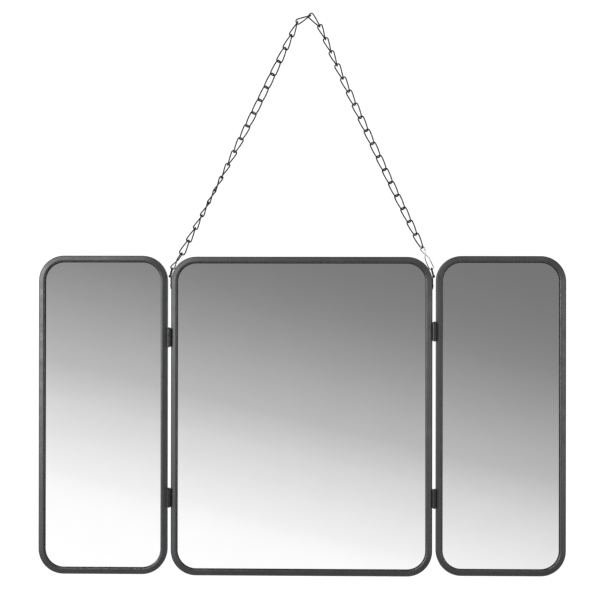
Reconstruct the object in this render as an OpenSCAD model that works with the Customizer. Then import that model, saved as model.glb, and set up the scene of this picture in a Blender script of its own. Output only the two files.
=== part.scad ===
// Chain-hung trifold wall mirror: a centre panel that carries a folding wing on each side.
// Millimetres, +Z up, the front faces -Y. The origin is where the chain lies over its wall nail.

/* [Panels] */
// Width of the centre panel over its frame
centre_w = 372; // [300:1:480]
// Height of all three panels
panel_h = 454; // [380:1:560]
// Space between the side of the centre frame and the side of a wing frame
panel_gap = 5; // [4.5:0.1:7]
// Space left between the two wings when both are folded over the centre
wings_meet_gap = 4; // [2:0.5:12]
// Outer radius of the frame corners
corner_r = 36; // [28:1:60]
// How much higher the wings hang than the centre panel
wing_lift = 1.3; // [0:0.1:3]

/* [Frame tube] */
// Width of the tube seen from the front
tube_w = 8.7; // [8:0.1:14]
// Depth of the tube from front to back
tube_d = 15; // [14:0.5:20]
// Wall of the tube
tube_wall = 1; // [0.8:0.1:1.2]
// Outer radius along the tube's edges
tube_edge_r = 2; // [1.5:0.1:2.5]
// Angle at which the tube's front slopes back towards the outside of the panel
face_slope = 12; // [0:1:15]

/* [Mirror and board] */
// Thickness of the mirror glass
glass_t = 3; // [2:0.5:4]
// How far the glass lies behind the front of the frame
glass_setback = 5; // [3:0.5:5.5]
// Space all round between the frame and the glass or the board
glass_clearance = 0.5; // [0.3:0.1:1]
// Thickness of the foam tape that bonds the glass to the board
tape_t = 1; // [0.5:0.1:1.2]
// Width of a strip of foam tape
tape_w = 20; // [10:1:30]
// Distance from the end of a tape strip to the edge of the glass
tape_margin = 40; // [30:1:60]
// Thickness of the backboard
board_t = 4; // [3:0.5:4.5]

/* [Board fixings] */
// Width of a lug along the frame
lug_w = 14; // [10:1:20]
// How far a lug reaches in from the frame
lug_reach = 12; // [10:0.5:18]
// Thickness of a lug
lug_t = 1; // [0.8:0.1:1.2]
// Distance from the frame to a board screw
lug_hole_reach = 7.5; // [6:0.5:8]
// Radius of a board screw's shank
board_screw_r = 1.25; // [1:0.05:1.5]
// Radius of a board screw's head
board_screw_head_r = 2.6; // [2:0.1:3]
// Height of a board screw's head
board_screw_head_h = 0.9; // [0.6:0.1:1]
// Depth to which a board screw goes into the board
board_screw_grip = 2.5; // [1.5:0.1:2.8]

/* [Hinges] */
// Length of the hinge barrel between its end caps
hinge_h = 26; // [22:1:40]
// Outer radius of the barrel
barrel_r = 3.2; // [2.6:0.1:3.3]
// Radius of the hinge pin
pin_r = 1.5; // [1:0.1:1.7]
// Radius of the domed cap at each end of a pin
pin_cap_r = 2.5; // [2:0.1:2.9]
// Height of the domed cap
pin_cap_h = 1.3; // [0.8:0.1:2]
// Thickness of a hinge leaf
leaf_t = 1.2; // [1.1:0.1:1.5]
// Depth that a leaf reaches back from the pin's axis
leaf_d = 13; // [11.5:0.5:14]
// Space between neighbouring knuckles
knuckle_gap = 0.3; // [0.2:0.05:0.5]
// How far the pin's axis stands in front of the frames
hinge_stand = 1.2; // [1.1:0.1:2]
// Height of the upper hinges above the middle of the panels
hinge_rise = 112; // [80:1:150]
// Depth of the lower hinges below the middle of the panels
hinge_drop = 116; // [80:1:150]
// How much higher the right upper hinge sits than the left one
right_hinge_lift = 9; // [0:1:15]
// Radius of a leaf screw's shank
leaf_screw_r = 1.2; // [1:0.05:1.4]
// Radius of a leaf screw's countersunk head
leaf_screw_head_r = 2.2; // [1.8:0.1:2.6]
// Depth of the countersunk head
leaf_screw_head_h = 1; // [0.8:0.05:1.1]
// Length of a leaf screw
leaf_screw_l = 5; // [4:0.5:7]
// Distance between the two screws of a leaf
leaf_screw_pitch = 16; // [12:1:20]

/* [Hangers] */
// Thickness of the hanger strap
strap_t = 1; // [0.8:0.1:1.1]
// Width of the hanger strap from front to back
strap_w = 9; // [6:0.5:9.5]
// Height of the strap's foot on the side of the frame
strap_foot_h = 10; // [8:0.5:16]
// Height of the strap's eye above the lower end of the frame's rounded corner
eye_rise = 8; // [6:0.1:9]
// How far the middle of the eye stands out from the side of the frame
eye_stand = 1.7; // [1.4:0.05:1.8]
// Radius of the D-ring's wire
ring_wire_r = 0.95; // [0.7:0.05:1]
// Height of the D-ring from its bar to its top, between wire centres
ring_h = 12.6; // [12:0.1:18]
// Radius of the D-ring's two lower bends
ring_bend_r = 1.2; // [1.1:0.1:1.6]
// Angle at which the D-ring leans in over the corner of the frame
ring_lean = 14; // [10:0.5:16]
// Radius of the rivet's shank
rivet_r = 1.6; // [1.2:0.1:2]
// Radius of the rivet's head
rivet_head_r = 3; // [2.4:0.1:3.6]
// Height of the rivet's head
rivet_head_h = 0.9; // [0.6:0.1:1]
// Radius of the rivet's bulb inside the tube
rivet_bulb_r = 2.2; // [1.8:0.1:2.6]
// Length of the rivet's bulb
rivet_bulb_l = 3; // [2:0.1:4]

/* [Chain] */
// Height from the top of the panels to the nail
hang_drop = 344.1; // [300:0.1:380]
// How far the nail is to the right of the middle of the centre panel
nail_offset = 12.35; // [0:0.05:20]
// Inner length of a chain link
link_pitch = 20.5; // [18:0.1:23]
// Outer width of a chain link
link_w = 10.2; // [9:0.1:12]
// Radius of the wire's bends at the corners of a chain link
link_bend_r = 2.8; // [2.2:0.1:3]
// Angle through which a chain link is twisted from end to end
link_twist = 55; // [50:1:90]
// Radius of the chain's wire
wire_r = 1; // [0.8:0.05:1.05]
// Slope of the top link on the left of the nail
left_top_slope = 26; // [20:1:35]
// Slope of the top link on the right of the nail
right_top_slope = 50.4; // [40:0.1:55]
// Roll of the top link on the left, half-way along it
left_top_roll = 69; // [62:1:72]
// Roll of the top link on the right, half-way along it
right_top_roll = 55; // [52:1:58]
// How far the left run sags below a straight line
left_sag = 2.4; // [0:0.05:4]
// How far the right run sags below a straight line
right_sag = 1.85; // [0:0.05:4]
// Distance between the wires that the left connecting link joins
left_end_span = 25.2; // [22:0.1:30]
// Distance between the wires that the right connecting link joins
right_end_span = 31.3; // [26:0.1:36]
// Lean of the left connecting link
left_end_lean = 33.1; // [26:0.1:40]
// Lean of the right connecting link
right_end_lean = 24.9; // [18:0.1:32]
// Outer width of a connecting link's eye, which holds the chain
end_eye_w = 7.2; // [6.6:0.1:8]
// Outer width of a connecting link's loop, which holds the D-ring
end_loop_w = 8; // [7:0.1:8.4]
// Radius of a connecting link's wire
end_wire_r = 0.8; // [0.6:0.05:0.9]
// Share of a connecting link's legs over which they twist
end_twist_share = 0.6; // [0.5:0.05:1]
// Roll of the left connecting link's loop out of the plane of the chain
left_loop_roll = -15; // [-30:1:0]
// Roll of the left connecting link's eye
left_eye_roll = -105; // [-115:1:-95]

/* [Fits] */
// Radial clearance of a hinge pin in the turning knuckle
running_fit = 0.05; // [0.02:0.01:0.1]
// Radial clearance of a screw, rivet or pin that is fixed in its hole
seat_fit = 0.02; // [0.01:0.01:0.04]
// Space between a ring or link and the piece that hangs in it
link_play = 0.2; // [0.15:0.01:0.3]
// Space between a connecting link and the D-ring or the chain
end_play = 0.3; // [0.2:0.05:0.5]

/* [Hidden] */
$fn = 48;
CUT = 1;

wing_w = (centre_w - wings_meet_gap) / 2;
wing_x = centre_w / 2 + panel_gap + wing_w / 2;
face_drop = (tube_w - 2 * tube_edge_r) * tan(face_slope);

glass_z = tube_d / 2 - glass_setback - glass_t;
tape_z = glass_z - tape_t;
board_z = tape_z - board_t;
lug_z = board_z - lug_t;

hinge_x = centre_w / 2 + panel_gap / 2;
knuckle_h = (hinge_h - 2 * knuckle_gap) / 3;
upper_left_z = hinge_rise;
upper_right_z = hinge_rise + right_hinge_lift;
lower_z = -hinge_drop;

// The whole weight hangs straight below the chain when the tubes sit this far forward
balance_y = -0.11;
panel_x = -nail_offset;
panel_top = -hang_drop;
panel_mid = panel_top - panel_h / 2;

eye_drop = corner_r - eye_rise;
eye_r = ring_wire_r + seat_fit + strap_t;
ring_half_w = strap_w / 2 + link_play + ring_bend_r;
strap_foot_z = -corner_r - strap_foot_h;
rivet_z = strap_foot_z + strap_foot_h / 2;
ring_top_x = eye_stand - ring_h * sin(ring_lean);
ring_top_z = -eye_drop + ring_h * cos(ring_lean);

wire_sides = 8;
bend_steps = 3;
leg_steps = 3;
link_half_w = link_w / 2 - wire_r;
end_eye_half_w = end_eye_w / 2 - end_wire_r;
end_loop_half_w = end_loop_w / 2 - end_wire_r;
link_seat = 2 * wire_r + link_play;
end_link_seat = wire_r + end_wire_r + end_play;
ring_seat = ring_wire_r + end_wire_r + end_play;

nail = [0, 0, 0];
left_ring_top = [panel_x - centre_w / 2 - ring_top_x, 0, panel_top + ring_top_z];
right_ring_top = [panel_x + centre_w / 2 + ring_top_x, 0, panel_top + ring_top_z];
left_knee = nail - link_pitch * [cos(left_top_slope), 0, sin(left_top_slope)];
right_knee = nail + link_pitch * [cos(right_top_slope), 0, -sin(right_top_slope)];
left_run_end = left_ring_top + left_end_span * [sin(left_end_lean), 0, cos(left_end_lean)];
right_run_end = right_ring_top + right_end_span * [-sin(right_end_lean), 0, cos(right_end_lean)];
left_links = round(norm(left_run_end - left_knee) / link_pitch);
right_links = round(norm(right_run_end - right_knee) / link_pitch);
// Roll of a link half-way along it, by its share of the way down its run
left_rolls = [[0, 65], [0.12, 33], [0.24, 10], [0.35, 4], [0.71, -76], [0.94, -117], [1, -132]];
right_rolls = [[0, 62], [0.12, 60], [0.25, 42], [0.56, 21], [0.81, 21], [1, 40]];

frame_colour = [0.31, 0.32, 0.33];
glass_colour = [0.72, 0.74, 0.75];
tape_colour = [0.92, 0.92, 0.9];
board_colour = [0.5, 0.36, 0.24];
fitting_colour = [0.16, 0.16, 0.17];
zinc_colour = [0.68, 0.69, 0.7];
chain_colour = [0.14, 0.14, 0.15];

function unit(v) = v / norm(v);

// Profiles and places shared by several pieces

module rounded_rect(w, h, r) {
    square([w - 2 * r, h], center = true);
    square([w, h - 2 * r], center = true);
    for (x = [-1, 1], y = [-1, 1])
        translate([x * (w / 2 - r), y * (h / 2 - r)])
            circle(r);
}

// Shows something drawn for the right side, or its mirror image for the left
module sided(side) {
    if (side > 0) children();
    else mirror([1, 0, 0]) children();
}

// Outline of the tube's section, set in by inset. +X is the outside of the panel and +Y the front.
module tube_outline(inset) {
    r = tube_edge_r - inset;
    x = tube_w / 2 - tube_edge_r;
    y = tube_d / 2 - tube_edge_r;
    lean = r * [sin(face_slope), cos(face_slope)];
    polygon([
        [-x, y] + lean, [x, y - face_drop] + lean, [x + r, y - face_drop], [x + r, -y],
        [x, -y - r], [-x, -y - r], [-x - r, -y], [-x - r, y]
    ]);
    for (corner = [[-x, y], [x, y - face_drop], [x, -y], [-x, -y]])
        translate(corner) circle(r);
}

module tube_section() {
    difference() {
        tube_outline(0);
        tube_outline(tube_wall);
    }
}

module domed_head(r, h) {
    dome_r = (r * r + h * h) / (2 * h);
    rotate_extrude()
        intersection() {
            square([r, h]);
            translate([0, h - dome_r]) circle(dome_r, $fn = 96);
        }
}

// Panels are drawn lying flat with the mirror up, then stood up facing the front
module stand_panel(x) {
    lift = x == 0 ? 0 : wing_lift;
    translate([panel_x + x, balance_y, panel_mid + lift])
        rotate([90, 0, 0])
            children();
}

module at_hinge(side, z) {
    translate([panel_x + side * hinge_x, balance_y - tube_d / 2 - hinge_stand, panel_mid + z])
        sided(side) children();
}

module at_hanger(side) {
    translate([panel_x + side * centre_w / 2, 0, panel_top])
        sided(side) children();
}

// Frames

module tube_ring(w, h) {
    for (side = [-1, 1]) {
        translate([side * (w - tube_w) / 2, 0, 0])
            rotate([90, 0, 0])
                linear_extrude(h - 2 * corner_r, center = true)
                    sided(side) tube_section();
        translate([0, side * (h - tube_w) / 2, 0])
            rotate([90, 0, 90])
                linear_extrude(w - 2 * corner_r, center = true)
                    sided(side) tube_section();
    }
    for (x = [-1, 1], y = [-1, 1])
        translate([x * (w / 2 - corner_r), y * (h / 2 - corner_r), 0])
            rotate([0, 0, x > 0 ? (y > 0 ? 0 : 270) : (y > 0 ? 90 : 180)])
                rotate_extrude(angle = 90)
                    translate([corner_r - tube_w / 2, 0])
                        tube_section();
}

// Holes through the outer wall of a side bar, for the two screws of each leaf
module leaf_screw_holes(side, w, hinge_zs) {
    for (z = hinge_zs, end = [-1, 1])
        translate([side * w / 2, z + end * leaf_screw_pitch / 2, 0])
            rotate([0, 90, 0])
                cylinder(h = 2 * (tube_wall + CUT), r = leaf_screw_r + seat_fit, center = true);
}

module centre_frame() {
    color(frame_colour)
        stand_panel(0)
            difference() {
                tube_ring(centre_w, panel_h);
                leaf_screw_holes(-1, centre_w, [upper_left_z, lower_z]);
                leaf_screw_holes(1, centre_w, [upper_right_z, lower_z]);
                for (side = [-1, 1])
                    translate([side * centre_w / 2, panel_h / 2 + rivet_z, balance_y])
                        rotate([0, 90, 0])
                            cylinder(h = 2 * (tube_wall + CUT), r = rivet_r + seat_fit, center = true);
            }
}

module wing_frame(side) {
    upper_z = side > 0 ? upper_right_z : upper_left_z;
    color(frame_colour)
        stand_panel(side * wing_x)
            difference() {
                tube_ring(wing_w, panel_h);
                leaf_screw_holes(-side, wing_w, [upper_z - wing_lift, lower_z - wing_lift]);
            }
}

// Mirror, tape, board and what holds the board

module fitted_plate(w, z, t) {
    margin = tube_w + glass_clearance;
    translate([0, 0, z])
        linear_extrude(t)
            rounded_rect(w - 2 * margin, panel_h - 2 * margin, corner_r - margin);
}

module mirror_glass(x, w) {
    color(glass_colour)
        stand_panel(x)
            fitted_plate(w, glass_z, glass_t);
}

module foam_tape(x, w, strips) {
    outer = w / 2 - tube_w - tape_margin + tape_w / 2;
    step = 2 * (outer - tape_w / 2) / (strips - 1);
    color(tape_colour)
        stand_panel(x)
            for (i = [0:strips - 1])
                translate([i * step - outer + tape_w / 2, 0, tape_z + tape_t / 2])
                    cube([tape_w, panel_h - 2 * (tube_w + tape_margin), tape_t], center = true);
}

// Places of the lugs: a point on the inside of the frame, and the way the lug points
function lug_places(w, side_ys) = concat(
    [for (s = [-1, 1]) [[0, s * (panel_h / 2 - tube_w)], -90 * s]],
    [for (s = [-1, 1], y = side_ys) [[s * (w / 2 - tube_w), y], s > 0 ? 180 : 0]]
);
centre_lug_ys = [-panel_h / 4, panel_h / 4];
wing_lug_ys = [0];

module at_lugs(w, side_ys) {
    for (place = lug_places(w, side_ys))
        translate([place[0][0], place[0][1], 0])
            rotate([0, 0, place[1]])
                children();
}

module backboard(x, w, side_ys) {
    color(board_colour)
        stand_panel(x)
            difference() {
                fitted_plate(w, board_z, board_t);
                at_lugs(w, side_ys)
                    translate([lug_hole_reach, 0, board_z - CUT])
                        cylinder(h = CUT + board_screw_grip + seat_fit, r = board_screw_r + seat_fit);
            }
}

// A lug's outer end follows the rounded edge of the tube that it is welded to
module lug() {
    difference() {
        translate([-tube_edge_r, -lug_w / 2, lug_z])
            cube([lug_reach + tube_edge_r, lug_w, lug_t]);
        translate([-tube_w / 2, 0, 0])
            rotate([90, 0, 0])
                linear_extrude(lug_w + 2 * CUT, center = true)
                    sided(-1) tube_outline(0);
        translate([lug_hole_reach, 0, lug_z - CUT])
            cylinder(h = lug_t + 2 * CUT, r = board_screw_r + seat_fit);
    }
}

module lugs(x, w, side_ys) {
    color(frame_colour)
        stand_panel(x)
            at_lugs(w, side_ys) lug();
}

module board_screws(x, w, side_ys) {
    color(zinc_colour)
        stand_panel(x)
            at_lugs(w, side_ys)
                translate([lug_hole_reach, 0, lug_z]) {
                    cylinder(h = lug_t + board_screw_grip, r = board_screw_r);
                    mirror([0, 0, 1]) domed_head(board_screw_head_r, board_screw_head_h);
                }
}

// Hinges, drawn for the right side: the fixed leaf points to -X and the wing leaf to +X

// A leaf is cut from one length of this profile: the barrel, and the plate that runs back from it
module leaf_profile(way) {
    difference() {
        union() {
            circle(barrel_r);
            translate([way > 0 ? panel_gap / 2 - leaf_t : -panel_gap / 2, 0]) square([leaf_t, leaf_d]);
        }
        circle(pin_r + (way > 0 ? running_fit : seat_fit));
    }
}

// Each notch is a pair of heights between which the other leaf's knuckle turns
module leaf(way, notches) {
    notch_r = barrel_r + knuckle_gap;
    difference() {
        translate([0, 0, -hinge_h / 2])
            linear_extrude(hinge_h) leaf_profile(way);
        for (notch = notches)
            translate([-notch_r, -notch_r, notch[0]])
                cube([2 * notch_r, 2 * notch_r, notch[1] - notch[0]]);
        at_leaf_screws(way) {
            translate([0, 0, -CUT]) cylinder(h = leaf_t + 2 * CUT, r = leaf_screw_r + seat_fit);
            countersink(leaf_screw_head_r + seat_fit);
        }
    }
}

module countersink(r) {
    cylinder(h = leaf_screw_head_h, r1 = r, r2 = leaf_screw_r);
}

// The screws point out of the gap, into the side of the frame
module at_leaf_screws(way) {
    for (end = [-1, 1])
        translate([way * (panel_gap / 2 - leaf_t), hinge_stand + tube_d / 2, end * leaf_screw_pitch / 2])
            rotate([0, 90 * way, 0])
                children();
}

module fixed_leaf(side, z) {
    color(fitting_colour)
        at_hinge(side, z)
            leaf(-1, [[-knuckle_h / 2 - knuckle_gap, knuckle_h / 2 + knuckle_gap]]);
}

module wing_leaf(side, z) {
    color(fitting_colour)
        at_hinge(side, z)
            leaf(1, [[-hinge_h / 2 - CUT, -knuckle_h / 2], [knuckle_h / 2, hinge_h / 2 + CUT]]);
}

module hinge_pin(side, z) {
    color(fitting_colour)
        at_hinge(side, z) {
            cylinder(h = hinge_h, r = pin_r, center = true);
            translate([0, 0, hinge_h / 2]) domed_head(pin_cap_r, pin_cap_h);
            translate([0, 0, -hinge_h / 2]) mirror([0, 0, 1]) domed_head(pin_cap_r, pin_cap_h);
        }
}

module leaf_screws(side, zs, way) {
    color(fitting_colour)
        for (z = zs)
            at_hinge(side, z)
                at_leaf_screws(way) {
                    countersink(leaf_screw_head_r);
                    cylinder(h = leaf_screw_l, r = leaf_screw_r);
                }
}

// Hangers, drawn for the right side from the top corner of the centre frame's outer side

module hanger_strap(side) {
    color(fitting_colour)
        at_hanger(side)
            difference() {
                rotate([90, 0, 0])
                    linear_extrude(strap_w, center = true)
                        difference() {
                            union() {
                                translate([0, strap_foot_z])
                                    square([strap_t, -eye_drop - strap_foot_z]);
                                translate([eye_stand, -eye_drop]) circle(eye_r);
                            }
                            translate([eye_stand, -eye_drop]) circle(ring_wire_r + seat_fit);
                        }
                translate([-CUT, 0, rivet_z])
                    rotate([0, 90, 0])
                        cylinder(h = strap_t + 2 * CUT, r = rivet_r + seat_fit);
            }
}

module wire_arc(bend, from, sweep) {
    rotate([0, 0, from])
        rotate_extrude(angle = sweep)
            translate([bend, 0])
                circle(ring_wire_r);
}

module d_ring(side) {
    bar_half = ring_half_w - ring_bend_r;
    arch_y = ring_h - ring_half_w;
    color(fitting_colour)
        at_hanger(side)
            translate([eye_stand, 0, -eye_drop])
                rotate([0, -ring_lean, 0])
                    rotate([90, 0, 90]) {
                        rotate([0, 90, 0])
                            cylinder(h = 2 * bar_half, r = ring_wire_r, center = true);
                        for (x = [-1, 1]) {
                            translate([x * ring_half_w, ring_bend_r, 0])
                                rotate([-90, 0, 0])
                                    cylinder(h = arch_y - ring_bend_r, r = ring_wire_r);
                            translate([x * bar_half, ring_bend_r, 0])
                                wire_arc(ring_bend_r, x > 0 ? 270 : 180, 90);
                        }
                        translate([0, arch_y, 0]) wire_arc(ring_half_w, 0, 180);
                    }
}

module hanger_rivets() {
    color(fitting_colour)
        for (side = [-1, 1])
            at_hanger(side)
                translate([strap_t, 0, rivet_z])
                    rotate([0, 90, 0]) {
                        domed_head(rivet_head_r, rivet_head_h);
                        translate([0, 0, -strap_t - tube_wall]) {
                            cylinder(h = strap_t + tube_wall, r = rivet_r);
                            translate([0, 0, -rivet_bulb_l]) cylinder(h = rivet_bulb_l, r = rivet_bulb_r);
                        }
                    }
}

// Chain

// Wire paths lie in the plane of a link. Each entry holds the place along the link, the place
// across it, and the outward normal. half_ws and bends are for the near and the far end.

// The wire round the near end, from one leg to the other
function end_path(half_w, bend) = [
    for (side = [-1, 1], i = [0:bend_steps])
        if (side < 0 || i > 0 || half_w > bend)
            let (t = 90 * (i / bend_steps + (side - 1) / 2))
            [bend * (1 - cos(t)), bend * sin(t) + side * (half_w - bend), -cos(t), sin(t)]
];

// Points inside one leg
function leg_path(length, half_ws, bends) = [
    for (i = [1:leg_steps - 1])
        let (share = i / leg_steps)
        [
            bends[0] + (length - bends[0] - bends[1]) * share,
            half_ws[0] + (half_ws[1] - half_ws[0]) * share,
            0, 1
        ]
];

// Once round the link
function slot_path(length, half_ws, bends) =
    let (leg = leg_path(length, half_ws, bends))
    concat(
        end_path(half_ws[0], bends[0]),
        leg,
        [for (p = end_path(half_ws[1], bends[1])) [length - p[0], -p[1], -p[2], -p[3]]],
        [for (i = [len(leg) - 1:-1:0]) [leg[i][0], -leg[i][1], 0, -1]]
    );

// The wire's centres and outward normals in space. The legs twist over twist_share of their length.
function twisted_path(start, dir, length, half_ws, bends, roll, twist, twist_share) =
    let (flat = cross([0, 1, 0], dir), leg = length - bends[0] - bends[1])
    [for (p = slot_path(length, half_ws, bends))
        let (
            along = (p[0] - bends[0]) / leg / twist_share,
            turn = roll + twist * min(max(along, 0), 1),
            across = cos(turn) * flat + sin(turn) * [0, 1, 0]
        )
        [start + p[0] * dir + p[1] * across, p[2] * dir + p[3] * across]];

// One link, from the wire it hooks on to the wire at its far end. Roll is that of the near end.
module chain_link(from, to, seats, r, half_ws, bends, roll, twist, twist_share) {
    dir = unit(to - from);
    length = norm(to - from) + seats[0] + seats[1];
    path = twisted_path(from - seats[0] * dir, dir, length, half_ws, bends, roll, twist, twist_share);
    rings = len(path);
    points = [for (i = [0:rings - 1])
        let (
            tangent = unit(path[(i + 1) % rings][0] - path[(i + rings - 1) % rings][0]),
            outward = unit(path[i][1] - (path[i][1] * tangent) * tangent),
            beside = cross(tangent, outward)
        )
        for (k = [0:wire_sides - 1]) let (a = 360 * (k + 0.5) / wire_sides)
            path[i][0] + r * (cos(a) * outward + sin(a) * beside)];
    faces = [for (i = [0:rings - 1], k = [0:wire_sides - 1])
        let (
            here = i * wire_sides,
            next = (i + 1) % rings * wire_sides,
            k2 = (k + 1) % wire_sides
        )
        each [[here + k, next + k, next + k2], [here + k, next + k2, here + k2]]];
    polyhedron(points, faces);
}

module common_link(from, to, seat, middle_roll) {
    chain_link(from, to, [seat, 0], wire_r, [link_half_w, link_half_w], [link_bend_r, link_bend_r],
        middle_roll - link_twist / 2, link_twist, 1);
}

module end_link(from, to, seats, half_ws, roll, twist) {
    chain_link(from, to, seats, end_wire_r, half_ws, half_ws, roll, twist, end_twist_share);
}

// A point at this share of the way down a run, which sags below the straight line
function run_point(knee, end, sag, share) =
    let (dir = unit(end - knee), under = sign(dir.x) * cross([0, 1, 0], dir))
    knee + share * (end - knee) + 4 * sag * share * (1 - share) * under;

module chain_left_run() {
    color(chain_colour) {
        common_link(left_knee, nail, link_seat, left_top_roll);
        for (i = [0:left_links - 1])
            common_link(
                run_point(left_knee, left_run_end, left_sag, (i + 1) / left_links),
                run_point(left_knee, left_run_end, left_sag, i / left_links),
                i == left_links - 1 ? end_link_seat : link_seat,
                lookup(i / (left_links - 1), left_rolls)
            );
    }
}

module chain_right_run() {
    color(chain_colour) {
        common_link(nail, right_knee, link_seat, right_top_roll);
        for (i = [0:right_links - 1])
            common_link(
                run_point(right_knee, right_run_end, right_sag, i / right_links),
                run_point(right_knee, right_run_end, right_sag, (i + 1) / right_links),
                link_seat,
                lookup(i / (right_links - 1), right_rolls)
            );
    }
}

// The left connecting link is seen half turned, and the right one flat, with its legs crossed
module left_end_link() {
    color(chain_colour)
        end_link(left_ring_top, left_run_end, [ring_seat, 0], [end_loop_half_w, end_eye_half_w],
            left_loop_roll, left_eye_roll - left_loop_roll);
}

module right_end_link() {
    color(zinc_colour)
        end_link(right_run_end, right_ring_top, [end_link_seat, ring_seat],
            [end_eye_half_w, end_loop_half_w], 0, 180);
}

centre_frame();
mirror_glass(0, centre_w);  // centre_glass
foam_tape(0, centre_w, 4);  // centre_tape
backboard(0, centre_w, centre_lug_ys);  // centre_backboard
lugs(0, centre_w, centre_lug_ys);  // centre_lugs
board_screws(0, centre_w, centre_lug_ys);  // centre_board_screws
wing_frame(-1);  // left_frame
mirror_glass(-wing_x, wing_w);  // left_glass
foam_tape(-wing_x, wing_w, 2);  // left_tape
backboard(-wing_x, wing_w, wing_lug_ys);  // left_backboard
lugs(-wing_x, wing_w, wing_lug_ys);  // left_lugs
board_screws(-wing_x, wing_w, wing_lug_ys);  // left_board_screws
wing_frame(1);  // right_frame
mirror_glass(wing_x, wing_w);  // right_glass
foam_tape(wing_x, wing_w, 2);  // right_tape
backboard(wing_x, wing_w, wing_lug_ys);  // right_backboard
lugs(wing_x, wing_w, wing_lug_ys);  // right_lugs
board_screws(wing_x, wing_w, wing_lug_ys);  // right_board_screws
fixed_leaf(-1, upper_left_z);  // upper_left_fixed_leaf
wing_leaf(-1, upper_left_z);  // upper_left_wing_leaf
hinge_pin(-1, upper_left_z);  // upper_left_pin
fixed_leaf(-1, lower_z);  // lower_left_fixed_leaf
wing_leaf(-1, lower_z);  // lower_left_wing_leaf
hinge_pin(-1, lower_z);  // lower_left_pin
fixed_leaf(1, upper_right_z);  // upper_right_fixed_leaf
wing_leaf(1, upper_right_z);  // upper_right_wing_leaf
hinge_pin(1, upper_right_z);  // upper_right_pin
fixed_leaf(1, lower_z);  // lower_right_fixed_leaf
wing_leaf(1, lower_z);  // lower_right_wing_leaf
hinge_pin(1, lower_z);  // lower_right_pin
union() {  // centre_leaf_screws
    leaf_screws(-1, [upper_left_z, lower_z], -1);
    leaf_screws(1, [upper_right_z, lower_z], -1);
}
leaf_screws(-1, [upper_left_z, lower_z], 1);  // left_leaf_screws
leaf_screws(1, [upper_right_z, lower_z], 1);  // right_leaf_screws
hanger_strap(-1);  // left_hanger_strap
d_ring(-1);  // left_d_ring
hanger_strap(1);  // right_hanger_strap
d_ring(1);  // right_d_ring
hanger_rivets();
chain_left_run();
chain_right_run();
left_end_link();
right_end_link();
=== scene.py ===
import math
from contextlib import contextmanager

import bpy
from bpy.props import FloatProperty, FloatVectorProperty, IntProperty, PointerProperty
from mathutils import Matrix, Vector


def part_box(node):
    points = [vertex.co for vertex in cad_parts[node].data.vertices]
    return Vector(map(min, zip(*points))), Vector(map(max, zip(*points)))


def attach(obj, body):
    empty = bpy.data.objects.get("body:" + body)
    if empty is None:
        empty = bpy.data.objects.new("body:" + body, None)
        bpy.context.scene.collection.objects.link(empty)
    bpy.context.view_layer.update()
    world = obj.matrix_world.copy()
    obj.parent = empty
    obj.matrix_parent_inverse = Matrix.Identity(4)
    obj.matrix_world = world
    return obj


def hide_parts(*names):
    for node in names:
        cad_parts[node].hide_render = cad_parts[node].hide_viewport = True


bl_info = {
    "name": "Trifold Wall Mirror",
    "version": (1, 0, 0),
    "blender": (4, 5, 0),
    "location": "3D View > Sidebar > Mirror",
    "description": "Finishes and details for a chain-hung trifold wall mirror",
    "category": "Object",
}

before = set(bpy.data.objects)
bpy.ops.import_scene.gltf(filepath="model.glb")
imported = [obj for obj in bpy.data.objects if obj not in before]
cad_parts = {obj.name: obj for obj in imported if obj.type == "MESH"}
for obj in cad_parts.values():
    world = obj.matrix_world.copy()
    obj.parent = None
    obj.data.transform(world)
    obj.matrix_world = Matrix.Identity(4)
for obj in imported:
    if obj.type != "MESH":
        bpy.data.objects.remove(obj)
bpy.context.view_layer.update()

PANELS = ("centre", "left", "right")
BODY_OF_PANEL = {"centre": "centre", "left": "left_wing", "right": "right_wing"}

# Way along X from the nail to each side of the mirror
WAY = {"left": -1, "right": 1}
BACKWARDS = Vector((0, 1, 0))

# Width of the frame tube and radius of a D-ring's wire, as the CAD model has them
TUBE_WIDTH = 0.0087
RING_WIRE = 0.00095

# Points nearer than this are one point
SAME_PLACE = 1e-6
# A face whose normal has more than this along an axis faces that way
FACING = 0.99

# Facets of the panes' corners, of other rounded edges, and of a link's wire, its bends and its legs
CORNER_SEGMENTS = 16
EDGE_SEGMENTS = 4
WIRE_SIDES = 12
BEND_STEPS = 6
LEG_STEPS = 12

# Space between the glass and the lip of its seal. The lip is a near-black strip over the glass that paints
# the shade along the frame's inner edge
SHADE_LIP_GAP = 0.00002

# Board screws
SCREW_HEAD_HEIGHT = 0.0009
SCREW_HEAD_ROUNDING = 0.0006
SCREW_HEAD_SIDES = 32
SCREW_SHANK_RADIUS = 0.00125
SCREW_SHANK_SIDES = 24
RECESS_DEPTH = 0.0006

# Roll of a link half-way along it in degrees, by its share of the way down its run
ROLLS = {
    "left": ((0, 65), (0.12, 33), (0.24, 10), (0.35, 4), (0.71, -76), (0.94, -117), (1, -132)),
    "right": ((0, 62), (0.12, 60), (0.25, 42), (0.56, 21), (0.81, 21), (1, 40)),
}
# Share of a connecting link's legs, from its start, over which they twist
END_TWIST_SHARE = 0.6
# Decimals, in metres, to which the legs of two links agree when one model serves both
LEG_DECIMALS = 5

# Values between which most of a noise texture lies
NOISE_LOW, NOISE_HIGH = 0.3, 0.7
# Bands in a metre of a wave texture whose scale is 1
WAVES_IN_METRE = 3.18
# Sockets of a Mix node that is set to colours
MIX_FACTOR, MIX_BASE, MIX_OVER, MIX_RESULT = 0, 6, 7, 2

# Brightness of the studio in front of the mirror, from low directions to high ones
FRONT_STOPS = (
    (0.02, 1.0), (0.122, 0.975), (0.193, 0.915), (0.36, 0.638),
    (0.453, 0.510), (0.67, 0.256), (0.843, 0.192), (1.0, 0.173),
)
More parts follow.
